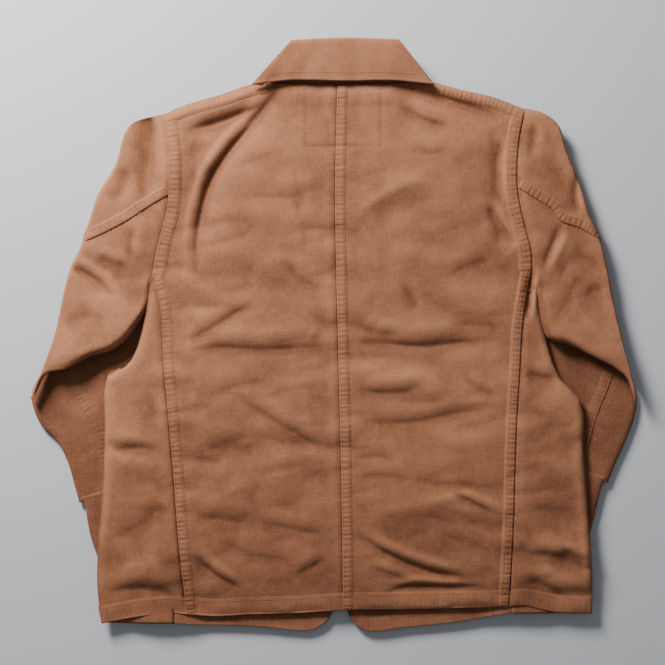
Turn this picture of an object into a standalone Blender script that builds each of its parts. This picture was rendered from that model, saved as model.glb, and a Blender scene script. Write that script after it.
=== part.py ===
"""A four-panel cotton duck work jacket, lying face down with its back up.

Metres. +X is the wearer's right, +Y runs from the hem to the collar, +Z is up, out of the back.
The origin is at the bottom centre of the laid-out jacket. The cloth lies in layers: the forearms
rest on the ground, the fronts and pockets between them, the upper sleeves above the forearms, and
the back over everything, with the collar folded down on it.
"""

import bpy
import bmesh
from math import cos, pi, sin
from mathutils import Matrix, Vector

# ---------------------------------------------------------------- driving dimensions
CLOTH = 0.0012            # one layer of duck, with its seam allowance evened out
THIN = 0.0010             # pocket bags, sleeve halves and facings
GAP = 0.0003              # what neighbouring cloths keep between them
SEAM_GAP = 0.0030         # the same between curved edges that are cut apart
FOREARM_TOP = 0.0105      # the forearms fill the height from the ground to here
SIDE_BOTTOM_Z = 0.0121    # mid height of the lower cloth over the forearms
FRONT_Z = 0.0066          # mid height of the fronts between the forearms
BACK_Z = 0.0246           # mid height of the back
UPPER_ARM_Z = 0.01835     # mid height of an upper sleeve
HALF_SLEEVE = 0.0040      # how far a sleeve half bulges from its edge
FRONT_RAMP = 0.050        # width over which a front rises onto the forearm
HINGE_LEFT = -0.215       # seam lines where the fronts turn open
HINGE_RIGHT = 0.240
SHOULDER_RUN = 0.020      # how far below the shoulder seam the back starts to turn down
CUFF_LENGTH = 0.058
CUFF_WIDTH = 0.100
CUFF_LOW = 0.0032         # the cuff's underside clears its button
FOREARM_GROWTH = 1.22     # a forearm's width at the elbow, against its cuff's
FOREARM_TUCK = 0.052      # how far the inner side of a forearm runs up under the upper sleeve
BUTTON_RADIUS = 0.0085
CUFF_BUTTON_RADIUS = 0.0070
BUTTON_X = 0.034
BUTTON_TOP_Y = 0.235
BUTTON_PITCH = 0.128
BUTTON_COUNT = 5
OPENING_X = 0.0095        # middle of the front opening
FACING_WIDTH = 0.072
FACING_LOW, FACING_HIGH = -0.350, 0.265
POCKETS = (               # name, near and far side from the opening, bottom and top
    ("lower_pocket", 0.052, 0.202, -0.330, -0.150),
    ("chest_pocket", 0.060, 0.180, 0.040, 0.165),
)
POCKET_SAG = 0.0044       # how far a pocket's bag hangs from its front
POCKET_SEAM = 0.012       # width over which it sinks in from its sewn sides
NECK_PATCH = ((-0.037, 0.255), (0.063, 0.330))
COLLAR_FOLD_Y = 0.3938
COLLAR_EDGE_Y = 0.341
SHOULDER_TURN = {         # the stretch of each shoulder seam, in x, where the back meets its front
    "back_panel_left": (-0.180, -0.113),
    "back_panel_right": (0.137, 0.233),
}
TURN_BLEND = 0.012        # width over which that turn starts and ends
TURN_FOOT = 0.0022        # how far over its front the back ends there

# Cloth colours, linear
DUCK = (0.262, 0.130, 0.078)
DUCK_DARK = (0.190, 0.091, 0.055)
DUCK_INSIDE = (0.222, 0.116, 0.073)
BRASS = (0.30, 0.21, 0.11)

# ---------------------------------------------------------------- outlines, in plan
CENTRE_SEAM = [(0.0127, -0.365), (0.006, -0.010), (0.002, 0.197), (0.004, 0.330)]
LEFT_SEAM = [(-0.197, -0.371), (-0.213, -0.185), (-0.229, -0.010), (-0.242, 0.078)]
RIGHT_SEAM = [(0.236, -0.362), (0.242, -0.150), (0.251, -0.010), (0.258, 0.066)]
LEFT_ARMHOLE = [(-0.242, 0.0785), (-0.222, 0.170), (-0.2195, 0.225), (-0.2273, 0.3007)]
RIGHT_ARMHOLE = [(0.2600, 0.0700), (0.246, 0.185), (0.2455, 0.240), (0.2550, 0.3065)]
LEFT_SHOULDER = [(-0.2273, 0.3007), (-0.170, 0.3205), (-0.1093, 0.335)]
RIGHT_SHOULDER = [(0.1340, 0.3350), (0.1950, 0.3270), (0.2550, 0.3065)]
LEFT_NECK = [(-0.1093, 0.335), (-0.050, 0.3350), (0.004, 0.3350)]
RIGHT_NECK = [(0.004, 0.3350), (0.070, 0.3350), (0.1340, 0.335)]
LEFT_SIDE = [(-0.317, -0.384), (-0.317, -0.300), (-0.306, -0.110), (-0.300, -0.035), (-0.2625, 0.030),
             (-0.2580, 0.062)]
RIGHT_SIDE = [(0.347, -0.371), (0.345, -0.290), (0.333, -0.100), (0.302, -0.045), (0.2820, 0.010),
              (0.2765, 0.055)]
LEFT_HEM = [(-0.197, -0.371), (-0.100, -0.3705), (0.0127, -0.365)]
RIGHT_HEM = [(0.0127, -0.365), (0.118, -0.364), (0.236, -0.362)]
LEFT_FRONT_HEM = [(HINGE_LEFT, -0.383), (-0.120, -0.388), (-0.039, -0.3947)]
LEFT_FRONT_CORNER = [(-0.039, -0.3947), (-0.017, -0.3885), (-0.0007, -0.3753), (0.0050, -0.3500),
                     (0.0055, -0.3100), (0.0040, 0.0)]
RIGHT_FRONT_HEM = [(HINGE_RIGHT, -0.3765), (0.130, -0.387), (0.0550, -0.3953)]
RIGHT_FRONT_CORNER = [(0.0550, -0.3953), (0.034, -0.3900), (0.0215, -0.3753), (0.0145, -0.3500),
                      (0.0125, -0.3100), (0.0110, 0.0)]
LEFT_FRONT_NECK = [(-0.1093, 0.331), (-0.070, 0.297), (-0.003, 0.285)]
RIGHT_FRONT_NECK = [(0.1340, 0.331), (0.090, 0.297), (0.007, 0.285)]

LEFT_UPPER_OUTER = [(-0.2190, 0.2950), (-0.252, 0.2930), (-0.277, 0.2740), (-0.3160, 0.1927),
                    (-0.3500, 0.1000), (-0.3740, 0.0000), (-0.4040, -0.0760)]
LEFT_UPPER_INNER = [(-0.2340, 0.0900), (-0.2600, 0.0760), (-0.2690, 0.0330), (-0.2880, -0.0020),
                    (-0.3233, -0.0255), (-0.3650, -0.0400), (-0.3990, -0.0800)]
RIGHT_UPPER_OUTER = [(0.2460, 0.3000), (0.2690, 0.3030), (0.300, 0.2860), (0.3313, 0.2047),
                     (0.3630, 0.1130), (0.3833, 0.0092), (0.4040, -0.0760)]
RIGHT_UPPER_INNER = [(0.2520, 0.0850), (0.2780, 0.0700), (0.2870, 0.0250), (0.3030, -0.0030),
                     (0.3300, -0.0190), (0.3776, -0.0428), (0.4010, -0.0800)]

# Each forearm, as the outer fold from the elbow to the end of the cuff, and its joint
LEFT_ELBOW = (-0.4020, -0.0850)
LEFT_CUFF_END = (-0.3180, -0.2967)
RIGHT_ELBOW = (0.4035, -0.0900)
RIGHT_CUFF_END = (0.3440, -0.2710)
ELBOW_Z = 0.0115
LEFT_SHOULDER_PIVOT = (-0.2300, 0.1900, UPPER_ARM_Z)
RIGHT_SHOULDER_PIVOT = (0.2520, 0.1900, UPPER_ARM_Z)


# ---------------------------------------------------------------- curves and heights
def smooth(t):
    """0 below 0, 1 above 1, and an even S between them."""
    t = min(max(t, 0.0), 1.0)
    return t * t * (3.0 - 2.0 * t)


def along(points, t):
    """The point at share t of a smooth curve through the points, by their spacing."""
    spots = [Vector((*p, 0.0)) for p in points]
    steps = [(b - a).length for a, b in zip(spots, spots[1:])]
    want = min(max(t, 0.0), 1.0) * sum(steps)
    i = 0
    while i < len(steps) - 1 and want > steps[i]:
        want -= steps[i]
        i += 1
    f = want / steps[i]
    p1, p2 = spots[i], spots[i + 1]
    chord = (p2 - p1) / steps[i]

    def slope(other, span):
        """The curve's slope at a shared point, weighted towards the shorter neighbour."""
        return (other * steps[i] + chord * span) / (span + steps[i]) * steps[i]

    m1 = slope((p1 - spots[i - 1]) / steps[i - 1], steps[i - 1]) if i else chord * steps[i]
    last = i + 2 == len(spots)
    m2 = chord * steps[i] if last else slope((spots[i + 2] - p2) / steps[i + 1], steps[i + 1])
    return (p1 * (2 * f**3 - 3 * f**2 + 1) + m1 * (f**3 - 2 * f**2 + f)
            + p2 * (3 * f**2 - 2 * f**3) + m2 * (f**3 - f**2))


def coons(bottom, top, left, right):
    """A map from (u, v), both 0 to 1, to the plan between four curves. u runs from left to right."""
    def place(u, v):
        b, t = along(bottom, u), along(top, u)
        a, c = along(left, v), along(right, v)
        corners = (along(bottom, 0) * (1 - u) * (1 - v) + along(bottom, 1) * u * (1 - v)
                   + along(top, 0) * (1 - u) * v + along(top, 1) * u * v)
        return b * (1 - v) + t * v + a * (1 - u) + c * u - corners
    return place


def between(first, second):
    """A map whose v crosses from the first curve to the second, with u along both."""
    def place(u, v):
        return along(first, u) * (1 - v) + along(second, u) * v
    return place


def front_height(x):
    """A front's height: low between the forearms, and up onto them by the seam lines."""
    inside = min(x - HINGE_LEFT, HINGE_RIGHT - x)
    return SIDE_BOTTOM_Z - (SIDE_BOTTOM_Z - FRONT_Z) * smooth(inside / FRONT_RAMP)


def back_height(x, below_seam, corner_left, corner_right):
    """The back is level, and turns down to the front along the shoulder seam."""
    drop = BACK_Z - front_height(x) - TURN_FOOT
    near = 1.0 - smooth(below_seam / SHOULDER_RUN)
    inside = smooth((x - corner_left) / TURN_BLEND) * smooth((corner_right - x) / TURN_BLEND)
    return BACK_Z - drop * near * inside


# ---------------------------------------------------------------- making pieces
def material(name, colour, roughness, metallic=0.0):
    made = bpy.data.materials.new(name)
    made.use_nodes = True
    shader = made.node_tree.nodes["Principled BSDF"]
    shader.inputs["Base Color"].default_value = (*colour, 1.0)
    shader.inputs["Roughness"].default_value = roughness
    shader.inputs["Metallic"].default_value = metallic
    return made


def piece(name, mesh, colour, roughness=0.92, metallic=0.0, pivot=None):
    """An object in the jacket's collection, under its joint's empty where it has one."""
    made = bpy.data.objects.new(name, mesh)
    mesh.materials.append(material(name, colour, roughness, metallic))
    parts.objects.link(made)
    if pivot is not None:
        made.parent = pivot
        mesh.transform(Matrix.Translation(-pivot.location))
    return made


def pivot(name, place):
    """An empty on a joint's axis."""
    made = bpy.data.objects.new(name, None)
    made.location = place
    parts.objects.link(made)
    return made


def grid(columns, rows, place):
    """A grid whose corners run over (0..1, 0..1), each moved to place(u, v)."""
    bm = bmesh.new()
    bmesh.ops.create_grid(bm, x_segments=columns, y_segments=rows, size=0.5)
    for vertex in bm.verts:
        vertex.co = place(vertex.co.x + 0.5, vertex.co.y + 0.5)
    mesh = bpy.data.meshes.new("grid")
    bm.to_mesh(mesh)
    bm.free()
    return mesh


def cloth(name, columns, rows, place, colour=DUCK, thickness=CLOTH, pivot=None):
    """A sheet of cloth of even thickness, on the grid that place gives."""
    made = piece(name, grid(columns, rows, place), colour, pivot=pivot)
    solid = made.modifiers.new("thickness", "SOLIDIFY")
    solid.thickness = thickness
    solid.offset = 0.0
    return made


def revolve(name, profile, place, colour, pivot=None, segments=12):
    """A turned piece with its axis on its own origin, by a Screw on an outline from the axis out."""
    bm = bmesh.new()
    spots = [bm.verts.new((r, 0.0, z)) for r, z in profile]
    for a, b in zip(spots, spots[1:]):
        bm.edges.new((a, b))
    mesh = bpy.data.meshes.new(name)
    bm.to_mesh(mesh)
    bm.free()
    made = bpy.data.objects.new(name, mesh)
    mesh.materials.append(material(name, colour, 0.38, 0.9))
    parts.objects.link(made)
    made.location = place
    if pivot is not None:
        made.parent = pivot
        made.location = Vector(place) - pivot.location
    screw = made.modifiers.new("turn", "SCREW")
    screw.angle = 2 * pi
    screw.axis = "Z"
    screw.steps = segments
    screw.render_steps = segments
    screw.use_merge_vertices = True
    screw.merge_threshold = 0.00001
    return made


# ---------------------------------------------------------------- back, sides and neck
def back_panels():
    """The two back halves, from the hem up to the shoulder seams and the neck."""
    halves = (
        ("back_panel_left", LEFT_HEM, LEFT_SHOULDER + LEFT_NECK[1:],
         LEFT_SEAM + LEFT_ARMHOLE[1:], CENTRE_SEAM),
        ("back_panel_right", RIGHT_HEM, RIGHT_NECK + RIGHT_SHOULDER[1:], CENTRE_SEAM,
         RIGHT_SEAM + RIGHT_ARMHOLE[1:]),
    )
    for name, hem, top, left, right in halves:
        plan = coons(hem, top, left, right)
        side = -1 if left is not CENTRE_SEAM else 1

        def place(u, v):
            spot = plan(u, v)
            inward = smooth(u if side > 0 else 1 - u)
            spot.x += side * GAP / 2 * (1 - 2 * inward)
            seam_y = along(top, u).y
            spot.z = back_height(spot.x, seam_y - spot.y, *SHOULDER_TURN[name])
            return spot

        cloth(name, 6, 16, place)


def side_panels():
    """Each side panel runs from the front seam below, round the side fold, to the back seam."""
    sides = (
        ("side_panel_left", LEFT_SIDE, LEFT_SEAM, HINGE_LEFT, -1),
        ("side_panel_right", RIGHT_SIDE, RIGHT_SEAM, HINGE_RIGHT, 1),
    )
    radius = (BACK_Z - SIDE_BOTTOM_Z) / 2
    lower, turn = 0.36, 0.64      # shares of the grid's columns up to the fold, and round it
    for name, fold, seam, hinge, side in sides:
        def place(u, v):
            edge, back = along(fold, v), along(seam, v)
            middle_x = edge.x - side * (radius + CLOTH / 2)
            if u <= lower:
                f = u / lower
                near = hinge + side * GAP / 2
                return Vector((near + (middle_x - near) * f, edge.y, SIDE_BOTTOM_Z))
            if u <= turn:
                angle = pi * (u - lower) / (turn - lower) - pi / 2
                return Vector((middle_x + side * radius * cos(angle), edge.y,
                               SIDE_BOTTOM_Z + radius * (1 + sin(angle))))
            f = (u - turn) / (1 - turn)
            far = back.x + side * SEAM_GAP
            return Vector((middle_x + (far - middle_x) * f, edge.y + (back.y - edge.y) * f, BACK_Z))

        cloth(name, 14, 8, place)


def neck():
    """The collar stand, from the neck seam up to the collar's fold, and the patch inside the back."""
    stand = coons([(-0.106, 0.3358), (0.012, 0.3358), (0.131, 0.3358)],
                  [(-0.060, COLLAR_FOLD_Y - 0.003), (0.015, COLLAR_FOLD_Y - 0.003),
                   (0.091, COLLAR_FOLD_Y - 0.003)],
                  [(-0.106, 0.3358), (-0.060, COLLAR_FOLD_Y - 0.003)],
                  [(0.131, 0.3358), (0.091, COLLAR_FOLD_Y - 0.003)])

    def on_back(u, v):
        spot = stand(u, v)
        spot.z = BACK_Z
        return spot

    cloth("collar_stand", 6, 3, on_back, DUCK_DARK)

    (left, low), (right, high) = NECK_PATCH

    def inside_back(u, v):
        return Vector((left + (right - left) * u, low + (high - low) * v,
                       BACK_Z - CLOTH / 2 - GAP - THIN / 2))

    cloth("neck_patch", 2, 2, inside_back, DUCK_INSIDE, THIN)


# ---------------------------------------------------------------- collar
def collar(fold):
    """The turned-down collar: its two leaves, which turn up about the fold."""
    for name, lift, narrower, colour in (("under_collar", 0.0016, 0.0012, DUCK_DARK),
                                         ("top_collar", 0.0031, 0.0, DUCK)):
        edge = COLLAR_EDGE_Y + narrower
        low_left, low_right = -0.107 + narrower, 0.132 - narrower
        high_left, high_right = -0.0553 + narrower, 0.0870 - narrower
        plan = coons([(low_left, edge), (0.012, edge - 0.0015), (low_right, edge)],
                     [(high_left, COLLAR_FOLD_Y), (0.015, COLLAR_FOLD_Y + 0.0015),
                      (high_right, COLLAR_FOLD_Y)],
                     [(low_left, edge), ((low_left + high_left) / 2 - 0.003, 0.368),
                      (high_left, COLLAR_FOLD_Y)],
                     [(low_right, edge), ((low_right + high_right) / 2 + 0.003, 0.368),
                      (high_right, COLLAR_FOLD_Y)])

        def place(u, v):
            spot = plan(u, v)
            spot.z = BACK_Z + lift
            return spot

        cloth(name, 8, 3, place, colour, CLOTH, fold)


# ---------------------------------------------------------------- fronts
def fronts(left_line, right_line):
    """The two fronts with their facings, pockets and collar ends, which turn about the side lines."""
    sides = (
        ("left", LEFT_FRONT_HEM, LEFT_FRONT_CORNER, LEFT_FRONT_NECK, LEFT_SHOULDER,
         HINGE_LEFT, -1, left_line),
        ("right", RIGHT_FRONT_HEM, RIGHT_FRONT_CORNER, RIGHT_FRONT_NECK, RIGHT_SHOULDER[::-1],
         HINGE_RIGHT, 1, right_line),
    )
    for name, hem, corner, collar_line, shoulder, hinge, side, line in sides:
        inner = hinge - side * GAP / 2
        top_out = along(shoulder, 0.17 if side < 0 else 0.13)
        hem = [(inner, hem[0][1])] + hem[1:]
        shoulder_neck = (collar_line[0][0], collar_line[0][1])
        top = [(inner, top_out.y - 0.003), ((inner + shoulder_neck[0]) / 2, shoulder_neck[1] - 0.009),
               shoulder_neck] + collar_line[1:]
        edge = corner + [collar_line[-1]]
        seam = [(inner, hem[0][1]), (inner, 0.0), (inner, top_out.y - 0.003)]
        plan = coons(hem, top, seam, edge)

        def on_front(u, v):
            spot = plan(u, v)
            spot.z = front_height(spot.x)
            return spot

        cloth(f"front_panel_{name}", 8, 12, on_front, DUCK_DARK, CLOTH, line)
        facing(name, side, line)
        pockets(name, side, line)
        collar_end(name, side, line)


def facing(name, side, line):
    """The doubled strip inside the front edge, from the hem curve to the neck."""
    inner_x = OPENING_X + side * 0.0075
    outer_x = inner_x + side * FACING_WIDTH

    def place(u, v):
        y = FACING_LOW + (FACING_HIGH - FACING_LOW) * v
        lean = 0.006 * (0.5 - v)
        return Vector((inner_x + (outer_x - inner_x) * u + lean, y,
                       FRONT_Z + CLOTH / 2 + GAP + THIN / 2))

    cloth(f"front_facing_{name}", 2, 8, place, DUCK_INSIDE, THIN, line)


def pockets(name, side, line):
    """Patch pockets on the outside of a front: sewn on three sides and open at the top."""
    for kind, near, far, low, high in POCKETS:
        def place(u, v):
            x = OPENING_X + side * (near + (far - near) * u)
            y = low + (high - low) * v
            sewn = min(u, 1 - u) * (far - near)
            bag = smooth(sewn / POCKET_SEAM) * smooth(v * (high - low) / POCKET_SEAM)
            under = CLOTH / 2 + GAP + THIN / 2 + 0.0002
            return Vector((x, y, front_height(x) - under - POCKET_SAG * bag))

        cloth(f"{kind}_{name}", 9, 5, place, DUCK, THIN, line)


def collar_end(name, side, line):
    """The collar's front end, turned down on the outside of a front."""
    centre = 0.0115
    neck_edge = [(centre + side * x, y) for x, y in ((0.010, 0.2790), (0.075, 0.2880), (0.114, 0.3200))]
    outer_edge = [(centre + side * x, y) for x, y in ((0.062, 0.2180), (0.108, 0.2560), (0.140, 0.3050))]
    plan = between(outer_edge, neck_edge)

    def place(u, v):
        spot = plan(u, v)
        spot.z = FRONT_Z - CLOTH / 2 - GAP - CLOTH / 2
        return spot

    cloth(f"collar_end_{name}", 5, 3, place, DUCK, CLOTH, line)


# ---------------------------------------------------------------- sleeves
def upper_sleeve(name, outer, inner, shoulder):
    """The two halves of an upper sleeve, open at the armhole and at the elbow's fold."""
    plan = between(outer, inner)
    for half, up in (("top", 1), ("under", -1)):
        def place(u, v):
            spot = plan(u, v)
            bulge = smooth(min(v, 1 - v) / 0.18)
            spot.z = UPPER_ARM_Z + up * (THIN / 2 + GAP / 2 + HALF_SLEEVE * bulge)
            return spot

        cloth(f"{half}_sleeve_upper_{name}", 8, 8, place, DUCK, THIN, shoulder)


def forearm(name, elbow, cuff_end, side, line):
    """The two halves of a forearm, with the wedge that lies hidden under the upper sleeve, and its cuff."""
    start, end = Vector((*elbow, 0)), Vector((*cuff_end, 0))
    down = (end - start).normalized()
    across = Vector((-down.y, down.x, 0)) * (-side)
    seam = end - down * CUFF_LENGTH
    length = (seam - start).length - GAP

    def outline(u, v):
        """u runs from the elbow to the cuff seam, v from the outer fold to the inner fold."""
        width = CUFF_WIDTH * (1 + (FOREARM_GROWTH - 1) * (1 - u))
        reach = start + down * (length * u + 0.004 * (1 - u)) + across * (width * v)
        turn = (1 - smooth(u / 0.45)) * v
        return reach - down * (FOREARM_TUCK * turn)

    middle = FOREARM_TOP / 2
    bulge_height = middle - THIN - GAP / 2
    for half, up in (("top", 1), ("under", -1)):
        def place(u, v):
            spot = outline(u, v)
            bulge = smooth(min(v, 1 - v) / 0.18)
            spot.z = middle + up * (THIN / 2 + GAP / 2 + bulge_height * bulge)
            return spot

        cloth(f"{half}_sleeve_lower_{name}", 5, 8, place, DUCK if up > 0 else DUCK_DARK, THIN, line)

    cuff(name, seam, down, across, line)


def cuff(name, seam, down, across, line):
    """A cuff: a doubled band round the wrist, with its slit on the underside."""
    thick = CLOTH
    radius = (FOREARM_TOP - CUFF_LOW - thick) / 2
    middle = (FOREARM_TOP + CUFF_LOW) / 2
    straight = CUFF_WIDTH - thick - 2 * radius
    slit = 0.0004
    total = 2 * straight + 2 * pi * radius
    start = straight * 0.70

    def ring(s):
        """The point (across, up) at length s round the band, from the inner end of the underside."""
        s = s % total
        if s < straight:
            return radius + s + thick / 2, -radius
        s -= straight
        if s < pi * radius:
            a = s / radius - pi / 2
            return radius + straight + thick / 2 + radius * cos(a), radius * sin(a)
        s -= pi * radius
        if s < straight:
            return radius + straight - s + thick / 2, radius
        a = (s - straight) / radius + pi / 2
        return radius + thick / 2 + radius * cos(a), radius * sin(a)

    stops = [start + slit, (start + straight) / 2, straight]
    stops += [straight + pi * radius * k / 6 for k in range(1, 7)]
    stops += [straight + pi * radius + straight * k / 3 for k in range(1, 4)]
    stops += [2 * straight + pi * radius + pi * radius * k / 6 for k in range(1, 7)]
    stops += [total + start / 2, total + start - slit]

    def place(u, v):
        w, h = ring(stops[round(v * (len(stops) - 1))])
        spot = seam + down * (GAP / 2 + (CUFF_LENGTH - GAP / 2) * u) + across * w
        spot.z = middle + h
        return spot

    cloth(f"cuff_{name}", 2, len(stops) - 1, place, DUCK, thick, line)

    centre = seam + down * (CUFF_LENGTH / 2) + across * (CUFF_WIDTH * 0.5)
    centre.z = CUFF_LOW + thick + GAP + 0.0003
    revolve(f"cuff_plate_{name}", tack_plate_profile(0.0042), centre, BRASS, line)
    head = centre.copy()
    head.z = CUFF_LOW - GAP
    revolve(f"cuff_button_{name}", button_profile(CUFF_BUTTON_RADIUS, CUFF_LOW - GAP - 0.0002), head, BRASS)


# ---------------------------------------------------------------- buttons
def button_profile(radius, height):
    """A tack button's outline from its shank, at the top, to its domed face below."""
    rim = min(0.0012, height * 0.45)
    return [(0.0, 0.0), (0.0028, 0.0), (0.0028, -height * 0.42), (radius * 0.97, -height * 0.42),
            (radius, -height * 0.62), (radius * 0.92, -height + rim * 0.35), (radius * 0.70, -height),
            (radius * 0.55, -height + rim * 0.45), (0.0, -height + rim * 0.45)]


def tack_plate_profile(radius):
    """The flat back of a tack button."""
    return [(0.0, 0.0003), (radius, 0.0003), (radius, -0.0003), (0.0, -0.0003)]


def front_buttons(line):
    """Five tack buttons down the right front, and the plates they are driven into."""
    under = FRONT_Z - CLOTH / 2 - GAP
    plate_z = FRONT_Z + CLOTH / 2 + GAP + THIN + GAP + 0.0003
    for number in range(1, BUTTON_COUNT + 1):
        y = BUTTON_TOP_Y - BUTTON_PITCH * (number - 1)
        revolve(f"tack_button_{number}", button_profile(BUTTON_RADIUS, 0.0050), (BUTTON_X, y, under), BRASS)
        revolve(f"tack_plate_{number}", tack_plate_profile(0.0048), (BUTTON_X, y, plate_z), BRASS, line)


# ---------------------------------------------------------------- the jacket
for old in list(bpy.data.objects):
    bpy.data.objects.remove(old)
parts = bpy.data.collections.new("duck_work_jacket")
bpy.context.scene.collection.children.link(parts)

back_panels()
side_panels()
neck()
collar(pivot("collar_fold", (0.0, COLLAR_FOLD_Y + 0.0010, BACK_Z + 0.0008)))
front_left_line = pivot("front_left_line", (HINGE_LEFT, 0.0, SIDE_BOTTOM_Z - CLOTH / 2))
front_right_line = pivot("front_right_line", (HINGE_RIGHT, 0.0, SIDE_BOTTOM_Z - CLOTH / 2))
fronts(front_left_line, front_right_line)
front_buttons(front_right_line)
upper_sleeve("left", LEFT_UPPER_OUTER, LEFT_UPPER_INNER, pivot("shoulder_left_pivot", LEFT_SHOULDER_PIVOT))
upper_sleeve("right", RIGHT_UPPER_OUTER, RIGHT_UPPER_INNER,
             pivot("shoulder_right_pivot", RIGHT_SHOULDER_PIVOT))
forearm("left", LEFT_ELBOW, LEFT_CUFF_END, -1, pivot("elbow_left_pivot", (*LEFT_ELBOW, ELBOW_Z)))
forearm("right", RIGHT_ELBOW, RIGHT_CUFF_END, 1, pivot("elbow_right_pivot", (*RIGHT_ELBOW, ELBOW_Z)))
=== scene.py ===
"""A brown cotton duck work jacket, lying face down on a pale floor and seen from straight above.

Every cloth is a sheet or a flattened tube that follows a height field: the lie of the jacket, its
listed folds, and the crumple of a small cloth simulation. Seam bands, hems and stitches
follow the same fields, so they dip and rise with the cloth under them. Metres throughout.
"""

from math import cos, hypot, pi, radians, sin

import bpy
import numpy as np
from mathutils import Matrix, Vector


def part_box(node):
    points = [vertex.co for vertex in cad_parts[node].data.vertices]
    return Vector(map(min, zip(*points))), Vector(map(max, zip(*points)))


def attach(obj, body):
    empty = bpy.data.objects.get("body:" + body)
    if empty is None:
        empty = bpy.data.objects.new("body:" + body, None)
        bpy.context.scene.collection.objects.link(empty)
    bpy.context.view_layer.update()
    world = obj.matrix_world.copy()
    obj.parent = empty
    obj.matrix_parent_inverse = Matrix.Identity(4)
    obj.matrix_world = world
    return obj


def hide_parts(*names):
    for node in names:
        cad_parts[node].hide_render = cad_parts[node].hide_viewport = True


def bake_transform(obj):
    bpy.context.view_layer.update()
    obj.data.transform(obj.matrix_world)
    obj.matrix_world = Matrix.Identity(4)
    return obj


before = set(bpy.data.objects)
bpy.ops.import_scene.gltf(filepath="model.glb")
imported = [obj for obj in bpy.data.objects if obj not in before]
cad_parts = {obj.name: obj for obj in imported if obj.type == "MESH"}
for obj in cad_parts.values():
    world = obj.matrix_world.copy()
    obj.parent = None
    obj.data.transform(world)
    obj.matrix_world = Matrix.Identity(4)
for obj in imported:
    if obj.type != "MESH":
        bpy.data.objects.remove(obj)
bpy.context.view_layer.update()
random = np.random.default_rng(41)

# ---------------------------------------------------------------- sizes
MM = 0.001
LAYER = 0.0014            # one duck layer
BAND = 0.0125             # a felled seam band
ARM_BAND = 0.015          # the band round an armhole
HEM = 0.022
STITCH_IN = 0.0022        # a stitch row's distance from its band's edge
PUCKER = 0.0066           # length of one pucker along a seam
STITCH_PITCH = 0.0036
STITCH_LENGTH = 0.0026
STITCH_RADIUS = 0.00036
CREASE_ROUND = 0.0016     # radius at the bottom of a crease
EDGE_Z = 0.014            # mid height of the jacket's edges
EDGE_ROUND = 0.011        # distance over which its top rises from there
SLEEVE_ROUND = 0.01       # the same on sleeves
CUFF_WIDTH = 0.1
CELL = 0.0018             # height field spacing
FIELD_HALF = (0.44, 0.425)
SIM_SPACING = 0.0064      # spacing of the simulated sheet, and its half size
SIM_HALF = (0.43, 0.41)
SIM_FRAMES = 26
HINGE_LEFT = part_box("front_panel_left")[0].x       # where each front turns, at its side edge
HINGE_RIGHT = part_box("front_panel_right")[1].x
FRONT_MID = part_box("front_panel_left")[0].z + LAYER / 2
SIDE_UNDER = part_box("side_panel_left")[0].z
FORE_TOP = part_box("top_sleeve_lower_left")[1].z
ARM_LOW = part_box("under_sleeve_upper_left")[0].z
COLLAR_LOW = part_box("under_collar")[0].z
JACKET_TOP = 0.022        # the camera's picture plane, about the height of the back
VIEW_WIDTH = 0.8867       # what the camera sees across on that plane
VIEW_DISTANCE = 1.62
SENSOR = 36               # millimetres

# ---------------------------------------------------------------- outlines in plan
CENTRE_SEAM = [(0.0127, -0.3655), (0.01, -0.177), (0.006, -0.01), (0.002, 0.197), (0.0047, 0.337)]
LEFT_SEAM = [(-0.197, -0.371), (-0.207, -0.266), (-0.218, -0.123), (-0.227, -0.031), (-0.233, 0.05),
             (-0.242, 0.083)]
RIGHT_SEAM = [(0.234, -0.361), (0.239, -0.266), (0.244, -0.109), (0.249, -0.035), (0.253, 0.023),
              (0.264, 0.088)]
LEFT_ARMHOLE = [(-0.242, 0.083), (-0.2327, 0.1287), (-0.222, 0.17), (-0.2193, 0.2007), (-0.22, 0.2513),
                (-0.2273, 0.299)]
RIGHT_ARMHOLE = [(0.264, 0.088), (0.263, 0.112), (0.254, 0.15), (0.2455, 0.19), (0.2447, 0.2413),
                 (0.2505, 0.282), (0.2561, 0.3055)]
LEFT_SHOULDER = [(-0.2273, 0.299), (-0.194, 0.3127), (-0.1527, 0.3247), (-0.104, 0.34)]
RIGHT_SHOULDER = [(0.126, 0.3425), (0.1727, 0.3313), (0.2133, 0.322), (0.2561, 0.3055)]
LEFT_NECK = [(-0.104, 0.34), (-0.05, 0.338), (0.0047, 0.337)]
RIGHT_NECK = [(0.0047, 0.337), (0.07, 0.3385), (0.126, 0.3425)]
LEFT_SIDE = [(-0.311, -0.3835), (-0.3165, -0.33), (-0.3145, -0.27), (-0.309, -0.205), (-0.306, -0.11),
             (-0.305, -0.06), (-0.299, -0.0455), (-0.279, -0.04), (-0.269, -0.027), (-0.258, 0.005),
             (-0.248, 0.07)]
RIGHT_SIDE = [(0.3465, -0.37), (0.347, -0.327), (0.343, -0.26), (0.335, -0.154), (0.329, -0.082),
              (0.304, -0.055), (0.287, -0.01), (0.277, 0.045), (0.271, 0.085)]
LEFT_HEM = [(-0.197, -0.371), (-0.161, -0.3735), (-0.114, -0.3713), (-0.045, -0.3693),
            (0.0127, -0.3655)]
RIGHT_HEM = [(0.0127, -0.3655), (0.118, -0.3639), (0.18, -0.3625), (0.234, -0.361)]
LEFT_SIDE_HEM = [(-0.311, -0.3835), (-0.257, -0.3735), (-0.223, -0.3695), (-0.197, -0.371)]
RIGHT_SIDE_HEM = [(0.234, -0.361), (0.257, -0.36), (0.282, -0.3655), (0.309, -0.3693), (0.3465, -0.37)]
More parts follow.
